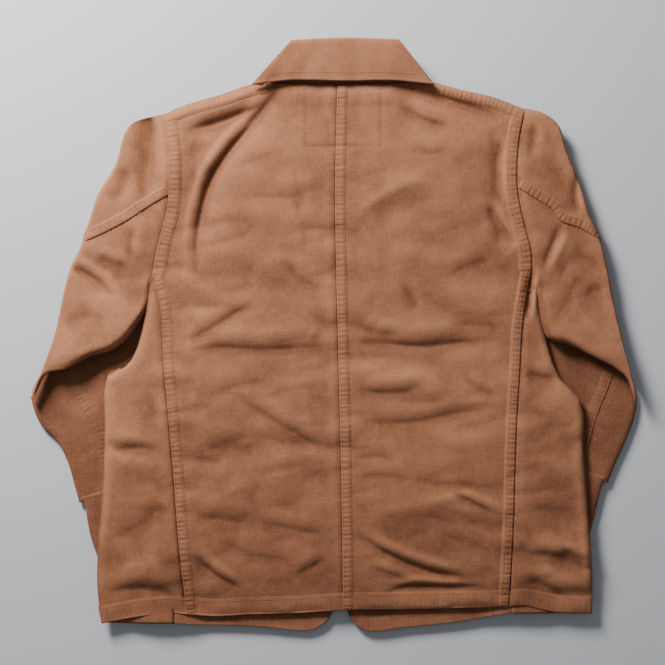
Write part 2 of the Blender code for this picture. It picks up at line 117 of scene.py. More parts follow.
LEFT_OUTER_ARM = [(-0.212, 0.301), (-0.2425, 0.2953), (-0.2713, 0.2847), (-0.279, 0.274),
                  (-0.2913, 0.2353), (-0.316, 0.1927), (-0.33, 0.15), (-0.3407, 0.1193),
                  (-0.3527, 0.094), (-0.3593, 0.0673), (-0.374, -0.0007), (-0.3927, -0.052),
                  (-0.405, -0.08)]
LEFT_INNER_ARM = [(-0.212, 0.068), (-0.241, 0.072), (-0.25, 0.038), (-0.262, 0.0173),
                  (-0.2807, -0.0073), (-0.2947, -0.0167), (-0.3233, -0.0255), (-0.3599, -0.0433),
                  (-0.379, -0.047), (-0.401, -0.083)]
RIGHT_OUTER_ARM = [(0.237, 0.306), (0.258, 0.306), (0.2827, 0.2993), (0.3, 0.286), (0.3113, 0.2553),
                   (0.3313, 0.2047), (0.3439, 0.166), (0.358, 0.1313), (0.366, 0.0984), (0.3727, 0.058),
                   (0.3833, 0.0092), (0.394, -0.038), (0.406, -0.08)]
RIGHT_INNER_ARM = [(0.242, 0.056), (0.27, 0.06), (0.2743, 0.04), (0.2793, 0.0173), (0.287, -0.001),
                   (0.3127, -0.0092), (0.3487, -0.0273), (0.3776, -0.0428), (0.39, -0.053),
                   (0.402, -0.083)]
LEFT_OUTER_FORE = [(-0.393, -0.045), (-0.4068, -0.0807), (-0.4037, -0.0967), (-0.3927, -0.1193),
                   (-0.3727, -0.1393), (-0.3609, -0.1603), (-0.3476, -0.2033), (-0.3425, -0.2225)]
LEFT_INNER_FORE = [(-0.247, 0.042), (-0.25, -0.005), (-0.256, -0.06), (-0.258, -0.1), (-0.25, -0.15),
                   (-0.247, -0.181)]
RIGHT_OUTER_FORE = [(0.39, -0.042), (0.4083, -0.0887), (0.4052, -0.1073), (0.394, -0.138),
                    (0.3767, -0.1767), (0.3695, -0.1958)]
RIGHT_INNER_FORE = [(0.274, 0.025), (0.272, -0.02), (0.276, -0.07), (0.279, -0.12), (0.277, -0.161)]
LEFT_CUFF_EDGE = [(-0.3405, -0.215), (-0.3353, -0.2245), (-0.3313, -0.246), (-0.326, -0.2713),
                  (-0.317, -0.2967)]
RIGHT_CUFF_EDGE = [(0.369, -0.189), (0.3633, -0.196), (0.3572, -0.2153), (0.3513, -0.24),
                   (0.344, -0.2687)]
LEFT_ARM_SEAM = [(-0.22, 0.1892), (-0.248, 0.173), (-0.2753, 0.1553), (-0.305, 0.14), (-0.335, 0.1268)]
RIGHT_ARM_SEAM = [(0.2447, 0.1993), (0.268, 0.185), (0.2908, 0.17), (0.3007, 0.1567), (0.3296, 0.1453),
                  (0.36, 0.127)]
LEFT_FORE_SEAM = [(-0.365, -0.038), (-0.3447, -0.086), (-0.3207, -0.1233), (-0.3153, -0.1633),
                  (-0.3113, -0.192)]
RIGHT_FORE_SEAM = [(0.38, -0.04), (0.3667, -0.076), (0.3553, -0.1047), (0.345, -0.14), (0.338, -0.17)]


# ---------------------------------------------------------------- curves
def curve(points, count):
    """count points, evenly spaced, on a smooth curve through the given ones."""
    p = np.asarray(points, float)
    chord = np.hypot(*np.diff(p, axis=0).T)
    slope = np.empty_like(p)
    inner = np.diff(p, axis=0) / chord[:, None]
    slope[0], slope[-1] = inner[0], inner[-1]
    before, after = chord[:-1, None], chord[1:, None]
    slope[1:-1] = (inner[:-1] * after + inner[1:] * before) / (before + after)
    t = np.linspace(0, 1, 24, endpoint=False)[:, None]
    fine = []
    for i, length in enumerate(chord):
        fine.append(p[i] * (2 * t**3 - 3 * t**2 + 1) + slope[i] * length * (t**3 - 2 * t**2 + t)
                    + p[i + 1] * (3 * t**2 - 2 * t**3) + slope[i + 1] * length * (t**3 - t**2))
    fine = np.vstack([*fine, p[-1:]])
    run = np.concatenate([[0], np.cumsum(np.hypot(*np.diff(fine, axis=0).T))])
    want = np.linspace(0, run[-1], count)
    return np.column_stack([np.interp(want, run, fine[:, 0]), np.interp(want, run, fine[:, 1])])


def length_of(points):
    return float(np.hypot(*np.diff(curve(points, 200), axis=0).T).sum())


def normals(p):
    """The unit normals along a line of points, to the left of its direction."""
    step = np.gradient(p, axis=0)
    step /= np.hypot(*step.T)[:, None]
    return np.column_stack([-step[:, 1], step[:, 0]])


def coons(bottom, top, left, right, columns, rows):
    """The plan of a patch between four curves: (rows + 1, columns + 1, 2)."""
    u = np.linspace(0, 1, columns + 1)[None, :, None]
    v = np.linspace(0, 1, rows + 1)[:, None, None]
    b, t = curve(bottom, columns + 1)[None], curve(top, columns + 1)[None]
    a, c = curve(left, rows + 1)[:, None], curve(right, rows + 1)[:, None]
    corners = ((b[:, :1] * (1 - u) + b[:, -1:] * u) * (1 - v)
               + (t[:, :1] * (1 - u) + t[:, -1:] * u) * v)
    return b * (1 - v) + t * v + a * (1 - u) + c * u - corners


# ---------------------------------------------------------------- height fields
xs = np.arange(-FIELD_HALF[0], FIELD_HALF[0] + CELL / 2, CELL)
ys = np.arange(-FIELD_HALF[1], FIELD_HALF[1] + CELL / 2, CELL)
GX, GY = np.meshgrid(xs, ys)


def bilinear(grid, i, j, a, b):
    """The grid's values between its rows j and j + 1 and its columns i and i + 1."""
    return ((grid[j, i] * (1 - a) + grid[j, i + 1] * a) * (1 - b)
            + (grid[j + 1, i] * (1 - a) + grid[j + 1, i + 1] * a) * b)


def sample(field, x, y, corner=(xs[0], ys[0]), cell=CELL):
    """The field's value at each place."""
    fx = np.clip((np.asarray(x) - corner[0]) / cell, 0, field.shape[1] - 1.001)
    fy = np.clip((np.asarray(y) - corner[1]) / cell, 0, field.shape[0] - 1.001)
    i, j = fx.astype(int), fy.astype(int)
    return bilinear(field, i, j, fx - i, fy - j)


def smooth(t):
    t = np.clip(t, 0, 1)
    return t * t * (3 - 2 * t)


def blurred(field, radius):
    """The field under three box blurs, which are close to a Gaussian of that radius."""
    half = max(int(round(radius / CELL)), 1)
    out = field
    for _ in range(3):
        for axis in (0, 1):
            pad = [(half + 1, half) if a == axis else (0, 0) for a in (0, 1)]
            run = np.cumsum(np.pad(out, pad, mode="edge"), axis=axis)
            n = out.shape[axis]
            high = np.take(run, np.arange(2 * half + 1, n + 2 * half + 1), axis=axis)
            low = np.take(run, np.arange(0, n), axis=axis)
            out = (high - low) / (2 * half + 1)
    return out


def noise(radius, stretch=(1.0, 1.0), angle=0.0, source=random):
    """Smooth noise of about unit size: white noise on a turned, stretched, coarse grid."""
    c, s = cos(angle), sin(angle)
    a = (GX * c + GY * s) / (radius * stretch[0]) + 40
    b = (-GX * s + GY * c) / (radius * stretch[1]) + 40
    grid = source.normal(size=(128, 128))
    i, j = np.floor(a).astype(int) % 127, np.floor(b).astype(int) % 127
    return bilinear(grid, i, j, smooth(a - np.floor(a)), smooth(b - np.floor(b)))


def along_line(points, reach, count=60):
    """For the cells within reach of a curve: their mask, signed distance and share along it."""
    line = curve(points, count)
    low, high = line.min(0) - reach, line.max(0) + reach
    mask = (GX > low[0]) & (GX < high[0]) & (GY > low[1]) & (GY < high[1])
    x, y = GX[mask], GY[mask]
    best = np.full(x.shape, 1e9)
    side, share = np.zeros_like(x), np.zeros_like(x)
    for i, (a, b) in enumerate(zip(line, line[1:])):
        d = b - a
        length = hypot(*d)
        t = ((x - a[0]) * d[0] + (y - a[1]) * d[1]) / length**2
        tc = np.clip(t, 0, 1)
        far = np.hypot(x - a[0] - tc * d[0], y - a[1] - tc * d[1])
        near = far < best
        best = np.where(near, far, best)
        cross = (d[0] * (y - a[1]) - d[1] * (x - a[0])) / length
        side = np.where(near, np.sign(cross), side)
        share = np.where(near, (i + tc) / (count - 1), share)
    return mask, best * side, share


def fold(field, points, depth, width, lean=0.35, taper=0.35):
    """A valley along a curve: a crisp bottom, a steep left flank under a low ridge, and a long right flank.

    A negative depth makes a crest instead, with its long flank on the left.
    """
    mask, far, share = along_line(points, width * 6)
    ends = smooth(share / taper) * smooth((1 - share) / taper)
    steep = far if depth > 0 else -far
    flank = np.where(steep > 0, width * 0.85, width * 1.8)
    round_off = CREASE_ROUND if depth > 0 else 4 * CREASE_ROUND
    crease = np.exp(-(np.hypot(far, round_off) - round_off) / flank)
    ridge = np.exp(-(((steep - 2.5 * width) / (1.5 * width)) ** 2)) * lean
    field[mask] += depth * ends * (ridge - crease)


def inside_distance(outline):
    """Distance from every cell to a closed outline, positive inside it."""
    ring = np.vstack([outline, outline[:1]])
    best = np.full(GX.shape, 1e9)
    inside = np.zeros(GX.shape, bool)
    for a, b in zip(ring, ring[1:]):
        d = b - a
        squared = max(float(d @ d), 1e-12)
        t = np.clip(((GX - a[0]) * d[0] + (GY - a[1]) * d[1]) / squared, 0, 1)
        best = np.minimum(best, np.hypot(GX - a[0] - t * d[0], GY - a[1] - t * d[1]))
        crosses = (a[1] > GY) != (b[1] > GY)
        inside ^= crosses & (GX < (b[0] - a[0]) * (GY - a[1]) / (b[1] - a[1] + 1e-12) + a[0])
    return np.where(inside, best, -best)


BODY_OUTLINE = np.vstack([curve(part, 24)[:-1] for part in (
    LEFT_SIDE_HEM, LEFT_HEM, RIGHT_HEM, RIGHT_SIDE_HEM, RIGHT_SIDE, RIGHT_ARMHOLE, RIGHT_SHOULDER[::-1],
    RIGHT_NECK[::-1], LEFT_NECK[::-1], LEFT_SHOULDER[::-1], LEFT_ARMHOLE[::-1], LEFT_SIDE[::-1])])

# Each fold: its curve, its depth (a crest's is negative) and its width, all in millimetres
BODY_FOLDS = [
    # across the waist
    ([(-213.6, -21.1), (-160, -14), (-98, -16.7), (-45, -14), (4, -7.8)], 3.6, 8),
    ([(17.6, -3.3), (62, -7.8), (115, -12.2), (169, -7.8), (231, -3.3)], 5.6, 9),
    ([(150, 14), (195, 18), (231, 10)], 3.0, 14),
    ([(-200, -7.8), (-151, 19), (-98, 50)], 3.0, 7),
    ([(-142, -70), (-80, -110), (-36, -137), (0, -163)], 3.0, 7),
    ([(26, -110), (98, -114), (169, -101), (222, -94)], 2.8, 7),
    ([(26, -70), (89, -74), (133, -57)], 1.9, 6),
    ([(169, -48), (204, -74), (226, -79)], 1.8, 5),
    ([(-180, -85), (-120, -62), (-70, -55)], 1.6, 9),
    # lower back
    ([(-191, -239), (-142, -245), (-98, -252)], 2.6, 8),
    ([(-187, -226), (-107, -190), (-9, -168)], -2.4, 14),
    ([(-107, -243), (-54, -257), (0, -266)], 2.2, 7),
    ([(-191, -288), (-156, -319), (-116, -341)], 4.2, 5),
    ([(-169, -262), (-116, -289), (-45, -300)], 1.6, 9),
    ([(-54, -319), (-30, -308), (-6, -292)], 2.0, 6),
    ([(-190, -140), (-140, -150), (-80, -140)], 1.8, 10),
    ([(26, -243), (98, -226), (204, -199)], -2.2, 12),
    ([(20, -254), (66, -286), (120, -310), (200, -326)], 5.6, 5),
    ([(44, -301), (80, -319), (112, -326)], 1.8, 4),
    ([(62, -343), (100, -334), (150, -334.5), (212, -334)], 4.4, 4),
    ([(155, -206), (188, -222), (224, -240)], 3.6, 4),
    ([(130, -262), (170, -272), (215, -290)], 1.4, 8),
    ([(20, -165), (55, -158), (90, -166)], 1.6, 6),
    ([(22, -190), (60, -184), (110, -192)], 1.4, 7),
    # upper back
    ([(22, 157), (62, 188), (106, 207), (148, 210)], -3.4, 9),
    ([(84, 312), (118, 291), (164, 279)], 4.2, 6),
    ([(100, 252), (130, 246), (160, 250)], 1.4, 6),
    ([(224, 272), (219, 228), (222, 172)], 4.0, 4),
    ([(200, 184), (220, 152), (242, 119)], 3.4, 4),
    ([(90, 338), (150, 320), (200, 302), (236, 290)], 6.4, 6),
    ([(-205, 272), (-151, 289), (-85, 314)], 7.4, 7),
    ([(-184, 70), (-178, 160), (-163, 212), (-140, 248), (-98, 298), (-78, 330)], 7.2, 5),
    ([(-125, 278), (-98, 300), (-70, 338)], 3.0, 5),
    ([(-134, 186), (-71, 188), (-12, 182)], 1.5, 8),
    ([(-71, 112), (-36, 72), (0, 61)], 1.8, 7),
    ([(-52, 225), (-45, 190), (-50, 150)], 1.3, 6),
    ([(150, 78), (180, 95), (215, 104)], 2.0, 7),
    ([(26, 19), (60, 6), (95, 4)], 2.2, 7),
    ([(88, 76), (105, 50), (112, 28)], 1.5, 5),
    ([(-196, 36), (-178, 10), (-172, -12)], 1.4, 6),
    ([(-10, 300), (-6, 270), (-9, 240)], 1.0, 5),
    # sides
    ([(-298, -152), (-267, -148), (-227, -149)], 2.8, 5),
    ([(-302, -181), (-267, -164), (-231, -172)], -2.2, 12),
    ([(-294, -272), (-249, -245), (-222, -216)], 2.8, 12),
    ([(-298, -308), (-249, -303), (-209, -308)], -3.2, 9),
    ([(-306, -340), (-262, -336), (-205, -345)], 3.8, 7),
    ([(-250, -70), (-240, -95), (-232, -112)], 1.4, 6),
    ([(253, -48), (278, -54), (305, -52)], 2.0, 6),
    ([(253, -150), (290, -163), (333, -196)], -2.0, 10),
    ([(252, -288), (293, -292), (340, -306)], 2.8, 7),
    ([(252, -318), (288, -336), (325, -358)], 3.8, 8),
    ([(300, -278), (322, -292), (345, -300)], 2.4, 4),
    ([(262, -222), (290, -232), (330, -228)], 1.5, 8),
    ([(265.5, 94), (262.5, 60), (259, 20)], 7.0, 3),
]
ARM_FOLDS = [
    ([(-366, 104), (-330, 84), (-286, 52)], 5.6, 5),
    ([(-318, 112), (-296, 100), (-270, 92)], 2.6, 4),
    ([(-244, 330), (-248, 260), (-254, 160)], 9.5, 13),
    ([(-275, 230), (-285, 195), (-300, 178)], 2.6, 6),
    ([(-262, 150), (-272, 128), (-268, 100)], 2.6, 5),
    ([(-372, 10), (-330, 30), (-290, 20)], 1.6, 9),
    ([(-330, 105), (-300, 92), (-262, 96)], 1.6, 7),
    ([(306, 152), (294, 125), (277, 90)], 5.0, 4),
    ([(326, 226), (324, 190), (328, 160)], 4.4, 6),
    ([(300, 70), (312, 100), (345, 115)], 1.8, 7),
    ([(290, 20), (310, 45), (330, 90)], 2.0, 9),
    ([(268, 290), (266, 262), (260, 235)], 2.6, 5),
    ([(335, 50), (352, 66), (366, 60)], 1.6, 5),
    ([(282, 230), (300, 215), (312, 190)], 1.6, 7),
]


def faces_of(grid, wrap=False, flip=False):
    """Quads of a grid of points; wrap also joins its last column to its first."""
    ids = np.arange(grid.shape[0] * grid.shape[1]).reshape(grid.shape[:2])
    right = np.roll(ids, -1, axis=1) if wrap else ids[:, 1:]
    left = ids if wrap else ids[:, :-1]
    faces = np.stack([left[:-1], right[:-1], right[1:], left[1:]], axis=-1).reshape(-1, 4)
    return faces[:, ::-1] if flip else faces


def crumpled_cloth():
    """The crumple of washed duck: a level sheet, a little too large for its seams, left to buckle."""
    x, y = ((np.arange(n) - (n - 1) / 2) * SIM_SPACING for n in
            (int(2 * half / SIM_SPACING) + 1 for half in SIM_HALF))
    px, py = np.meshgrid(x, y)
    source = np.random.default_rng(7)
    start = sample(sum(noise(r, source=source) * r for r in (0.02, 0.045)), px, py) * 0.02 + 0.003
    points = np.column_stack([px.ravel(), py.ravel(), start.ravel()])
    mesh = bpy.data.meshes.new("crumple")
    mesh.from_pydata(points.tolist(), [], faces_of(px).tolist())
    cloth = bpy.data.objects.new("crumple", mesh)
    bpy.context.scene.collection.objects.link(cloth)
    seams = cloth.vertex_groups.new(name="seams")
    held = np.zeros(px.shape, bool)
    for line in (CENTRE_SEAM, LEFT_SEAM, RIGHT_SEAM, LEFT_ARMHOLE, RIGHT_ARMHOLE, LEFT_HEM, RIGHT_HEM):
        for spot in curve(line, 60):
            held |= np.hypot(px - spot[0], py - spot[1]) < SIM_SPACING * 0.75
    held[[0, -1]] = held[:, [0, -1]] = True
    seams.add(np.flatnonzero(held.ravel()).tolist(), 1.0, "REPLACE")
    cloth.modifiers.new("cloth", "CLOTH")
    settings = cloth.modifiers["cloth"].settings
    for key, value in {"quality": 4, "mass": 0.004, "tension_stiffness": 30, "compression_stiffness": 30,
                       "shear_stiffness": 14, "bending_stiffness": 1.2, "shrink_min": -0.012,
                       "vertex_group_mass": "seams"}.items():
        setattr(settings, key, value)
    settings.effector_weights.gravity = 0.15
    cloth.modifiers["cloth"].point_cache.frame_end = SIM_FRAMES
    bpy.ops.mesh.primitive_plane_add(size=2)
    ground = bpy.context.object
    ground.modifiers.new("collision", "COLLISION")
    ground.collision.thickness_outer = 0.001
    for frame_number in range(1, SIM_FRAMES + 1):
        bpy.context.scene.frame_set(frame_number)
    shape = cloth.evaluated_get(bpy.context.evaluated_depsgraph_get()).data
    got = np.empty(len(shape.vertices) * 3)
    shape.vertices.foreach_get("co", got)
    bpy.data.objects.remove(cloth)
    bpy.data.objects.remove(ground)
    bpy.context.scene.frame_set(1)
    field = blurred(sample(got.reshape(*px.shape, 3)[..., 2], GX, GY, (x[0], y[0]), SIM_SPACING), CELL)
    field -= blurred(field, 0.03)
    return field / max(float(np.abs(field).std()), 1e-6)


# ---------------------------------------------------------------- the jacket's lie
def rounded(d, radius):
    """0 at an edge, 1 from radius on, with a quarter ellipse between."""
    t = np.clip(d / radius, 0, 1)
    return np.sqrt(np.maximum(1 - (1 - t) ** 2, 0))


def arm_distance(outer, inner, root):
    """Distance into an upper arm's outline, run on into the body so that the two join without a dip."""
    return inside_distance(np.vstack([curve(outer, 50), curve(inner, 50)[::-1], root]))


arm_far = np.maximum(arm_distance(LEFT_OUTER_ARM, LEFT_INNER_ARM, [(-0.15, 0.068), (-0.15, 0.3)]),
                     arm_distance(RIGHT_OUTER_ARM, RIGHT_INNER_ARM, [(0.18, 0.056), (0.18, 0.306)]))
body_far = inside_distance(BODY_OUTLINE)
neck_far = inside_distance(np.array([(-0.095, 0.28), (0.118, 0.28), (0.118, 0.372), (-0.095, 0.372)]))
top_far = np.maximum(np.maximum(body_far, arm_far), neck_far)

crumple = crumpled_cloth()
seam_near = np.zeros_like(GX)
for line in (CENTRE_SEAM, LEFT_SEAM, RIGHT_SEAM, LEFT_ARMHOLE, RIGHT_ARMHOLE):
    near_mask, near_far, _ = along_line(line, 0.05)
    seam_near[near_mask] = np.maximum(seam_near[near_mask], 1 - smooth((np.abs(near_far) - 0.01) / 0.03))
crumple *= 1 - 0.85 * seam_near
swell = noise(0.052, (2.0, 1.0), -0.1) * 0.65 + noise(0.03, (2.2, 1.0), -0.25) * 0.35
billow = sum(share * (np.sqrt(noise(size, (2.3, 1.0), tilt) ** 2 + 0.01) - 0.7)
             for size, share, tilt in ((0.04, 1.0, -0.12), (0.024, 0.45, 0.2)))
billow *= 0.35 + 0.65 * smooth((noise(0.07) + 0.6) / 1.2)

hem_near = np.exp(-np.clip(GY + 0.372, 0, 1) / 0.03)
lie = 0.0212 + 0.005 * smooth(top_far / 0.09) - 0.004 * hem_near - 0.003 * smooth((-0.16 - GY) / 0.2)
folds = np.zeros_like(GX)
for points, depth, width in BODY_FOLDS + ARM_FOLDS:
    fold(folds, np.multiply(points, MM), depth * MM, width * MM)
calm = 1 - 0.5 * smooth((GY - 0.1) / 0.15)
wrinkles = crumple * 0.00046 + (swell * 0.0014 + billow * 0.0025) * calm
top_cloth = EDGE_Z + (lie + folds + wrinkles - EDGE_Z) * rounded(top_far, EDGE_ROUND)

# Each seam: its line, its band's width, and the side of the line that the band lies on
SEAMS = {
    "centre_seam": (CENTRE_SEAM, BAND, -1),
    "side_seam_left": (LEFT_SEAM, BAND, -1),
    "side_seam_right": (RIGHT_SEAM, BAND, 1),
    "armhole_seam_left": (LEFT_ARMHOLE, ARM_BAND, -1),
    "armhole_seam_right": (RIGHT_ARMHOLE, ARM_BAND, 1),
    "shoulder_seam_left": (LEFT_SHOULDER + [(-0.088, 0.343)], ARM_BAND, -1),
    "shoulder_seam_right": ([(0.11, 0.345)] + RIGHT_SHOULDER, ARM_BAND, -1),
}
ARM_SEAMS = {
    "sleeve_seam_left": (LEFT_ARM_SEAM, BAND, -1),
    "sleeve_seam_right": (RIGHT_ARM_SEAM, BAND, 1),
}
FORE_SEAMS = {
    "forearm_seam_left": (LEFT_FORE_SEAM, BAND, 1),
    "forearm_seam_right": (RIGHT_FORE_SEAM, BAND, -1),
}


def pucker_wave(run, seed):
    """Broad ridges between narrow valleys along a seam, from about 0 down to -1, unevenly deep."""
    phase = run / PUCKER + 0.3 * np.sin(run * 47 + seed) + 0.22 * np.sin(run * 113)
    valley = np.exp(-(((phase - np.round(phase)) / 0.19) ** 2))
    uneven = 0.6 + 0.4 * np.sin(np.round(phase) * 2.4 + seed) * np.sin(np.round(phase) * 0.71)
    return -valley * uneven


def pucker_field(seams):
    """The dips that puckers leave beside each seam, and the groove where its cloths meet."""
    out = np.zeros_like(GX)
    for line, width, side in seams.values():
        mask, far, share = along_line(line, 0.03, 120)
        run = share * length_of(line)
        off = np.abs(far * side - width / 2)
        reach = np.exp(-((off / (width * 0.8)) ** 2))
        out[mask] += 0.00055 * reach * pucker_wave(run, width * 1000)
        out[mask] -= 0.0005 * np.exp(-(((far * side + 0.0012) / 0.0022) ** 2))
    return out


top_cloth += pucker_field(SEAMS | ARM_SEAMS) * rounded(top_far, 0.006)
patch_low, patch_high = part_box("neck_patch")
patch_corners = [(patch_low.x, patch_high.y), (patch_low.x, patch_low.y),
                 (patch_high.x, patch_low.y), (patch_high.x, patch_high.y)]
PATCH_SIDES = [[a, tuple(np.mean([a, b], axis=0)), b] for a, b in zip(patch_corners, patch_corners[1:])]
for patch_side in PATCH_SIDES:
    patch_mask, patch_far, _ = along_line(patch_side, 0.008)
    top_cloth[patch_mask] -= 0.0005 * np.exp(-((patch_far / 0.002) ** 2))
ridge = top_cloth - blurred(top_cloth, 0.006)
broad = top_cloth - blurred(top_cloth, 0.018)
# Wear and painted light in one: paler on raised cloth, as worn duck is; painted shade in folds and hollows,
# growing towards the hem; a little painted light towards the collar
worn_and_shaded = ridge * 900 + broad * 300 - 0.5 * smooth((-0.11 - GY) / 0.2) + 0.08 * smooth((GY - 0.05) / 0.3)
worn_and_shaded -= 0.55 * np.exp(-(((GX + 0.262) / 0.06) ** 2) - ((GY - 0.235) / 0.055) ** 2)     # painted shade on the left shoulder
worn_and_shaded = np.clip(worn_and_shaded, -0.75, 1)


# ---------------------------------------------------------------- materials
def new_material(name):
    """A material, its node tree, its shader node, and the object's own coordinates."""
    made = bpy.data.materials.new(name)
    made.use_nodes = True
    tree = made.node_tree
    return made, tree, tree.nodes["Principled BSDF"], tree.nodes.new("ShaderNodeTexCoord").outputs["Object"]


def feed(tree, node, inputs):
    """Gives a node its inputs: each a value, or the output that it comes from."""
    for key, value in inputs.items():
        if isinstance(value, bpy.types.NodeSocket):
            tree.links.new(value, node.inputs[key])
        else:
            node.inputs[key].default_value = value


def add(tree, kind, inputs, **settings):
    node = tree.nodes.new(f"ShaderNode{kind}")
    for key, value in settings.items():
        setattr(node, key, value)
    feed(tree, node, inputs)
    return node


def duck_material(name, base, faded_and_lit, deep, grain=1.0):
    """Washed cotton duck: slubby weave, mottled dye, paler with wear and painted light, darker with painted
    shade in its folds.
    """
    base, faded_and_lit, deep = ((*colour, 1) for colour in (base, faded_and_lit, deep))
    made, tree, shader, place = new_material(name)

    def texture(scale, detail, stretch=(1, 1, 1)):
        spread = add(tree, "Mapping", {"Scale": stretch, "Vector": place}).outputs["Vector"]
        return add(tree, "TexNoise", {"Scale": scale, "Detail": detail, "Roughness": 0.6,
                                      "Vector": spread}).outputs["Fac"]

    def ranged(value, low, high, to_low, to_high):
        return add(tree, "MapRange", {"Value": value, "From Min": low, "From Max": high,
                                      "To Min": to_low, "To Max": to_high}).outputs["Result"]

    def math(kind, a, b):
        return add(tree, "Math", {0: a, 1: b}, operation=kind).outputs["Value"]

    def blended(amount, a, b):
        return add(tree, "Mix", {"Factor": amount, "A": a, "B": b}, data_type="RGBA").outputs["Result"]

    # this attribute is wear and painted light at once: paler with real wear on raised cloth and seams,
    # painted shade in folds, under the sleeves and towards the hem, painted highlight on the collar's roll
    wear_and_shade = add(tree, "Attribute", {}, attribute_name="worn_and_shaded").outputs["Fac"]
    mottle = texture(14, 5)
    patchy = texture(60, 4)
    weft = texture(620, 2, (0.16, 1, 1))
    warp = texture(620, 2, (1, 0.16, 1))
    speck = texture(900, 1)
    high = math("ADD", wear_and_shade, ranged(patchy, 0.3, 0.7, -0.25, 0.25))
    colour = blended(ranged(high, 0.05, 0.85, 0.0, 0.62), base, faded_and_lit)
    colour = blended(ranged(high, -0.1, -0.9, 0.0, 0.75), colour, deep)
    colour = blended(ranged(mottle, 0.4, 0.68, 0.0, 0.3), colour, faded_and_lit)
    colour = blended(ranged(mottle, 0.52, 0.28, 0.0, 0.28), colour, deep)
    weave = math("ADD", weft, warp)
    colour = blended(ranged(weave, 1.02, 1.3, 0.0, 0.26 * grain), colour, faded_and_lit)
    colour = blended(ranged(weave, 0.98, 0.7, 0.0, 0.3 * grain), colour, deep)
    relief = math("ADD", math("MULTIPLY", weave, 0.55), math("MULTIPLY", speck, 0.3))
    relief = math("ADD", relief, math("MULTIPLY", patchy, 0.9))
    bump = add(tree, "Bump", {"Strength": 0.55, "Distance": 0.0007, "Height": relief})
    feed(tree, shader, {"Base Color": colour, "Roughness": 0.92, "Specular IOR Level": 0.12,
                        "Sheen Weight": 0.05, "Sheen Roughness": 0.55, "Normal": bump.outputs["Normal"]})
    return made


def metal_material(name, colour):
    """Dull antique metal with fine pitting."""
    made, tree, shader, place = new_material(name)
    pits = add(tree, "TexNoise", {"Scale": 900, "Detail": 4, "Vector": place}).outputs["Fac"]
    ramp = add(tree, "ValToRGB", {"Fac": pits})
    ramp.color_ramp.elements[0].color = (*(c * 0.45 for c in colour), 1)
    ramp.color_ramp.elements[1].color = (*colour, 1)
    rough = add(tree, "MapRange", {"Value": pits, "To Min": 0.32, "To Max": 0.58})
    bump = add(tree, "Bump", {"Strength": 0.25, "Distance": 0.0002, "Height": pits})
    feed(tree, shader, {"Metallic": 0.95, "Base Color": ramp.outputs["Color"],
                        "Roughness": rough.outputs["Result"], "Normal": bump.outputs["Normal"]})
    return made


# the faded colour is both the worn tone and the painted light; the deep colour is both the deep dye tone
# and the painted shade
BASE = (0.253, 0.1, 0.05)
FADED_AND_LIT = (0.385, 0.168, 0.088)
DEEP = (0.125, 0.046, 0.022)
DUCK = duck_material("duck", BASE, FADED_AND_LIT, DEEP)
DUCK_BAND = duck_material("duck_band", tuple(c * 1.06 for c in BASE), FADED_AND_LIT, DEEP)
DUCK_INSIDE = duck_material("duck_inside", (0.235, 0.1, 0.054), (0.33, 0.155, 0.09), (0.12, 0.048, 0.026))
THREAD = duck_material("thread", (0.33, 0.14, 0.072), (0.4, 0.185, 0.1), (0.2, 0.082, 0.042), 0.3)
ANTIQUE = metal_material("antique_brass", (0.36, 0.26, 0.14))


# ---------------------------------------------------------------- making pieces
def cloth_object(name, points, faces, material, thickness=0.0, wear_and_shade=None):
    """A smooth-shaded mesh with its wear and painted shade, thickened downwards where a thickness is given.
    """
    mesh = bpy.data.meshes.new(name)
    points = points.reshape(-1, 3)
    mesh.from_pydata(points.tolist(), [], faces.tolist())
    mesh.materials.append(material)
    mesh.shade_smooth()
    wear_and_shade_here = sample(worn_and_shaded, points[:, 0], points[:, 1]) if wear_and_shade is None else wear_and_shade.ravel()
    mesh.attributes.new("worn_and_shaded", "FLOAT", "POINT").data.foreach_set("value", wear_and_shade_here.astype(np.float32))
    made = bpy.data.objects.new(name, mesh)
    bpy.context.scene.collection.objects.link(made)
    if thickness:
        solid = made.modifiers.new("thickness", "SOLIDIFY")
        solid.thickness = thickness
        solid.offset = -1
        solid.use_even_offset = False
    return made


def on_field(plan, field, lift=0.0):
    """Plan points lifted onto a field."""
    return np.dstack([plan, sample(field, plan[..., 0], plan[..., 1]) + lift])


def hold(made, body):
    """Sets a piece on its body, except on a sleeve, where it only has its place baked in."""
    if body.startswith("upper_arm_"):
        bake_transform(made)
    elif body.startswith("forearm_"):
        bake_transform(made)
    else:
        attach(made, body)


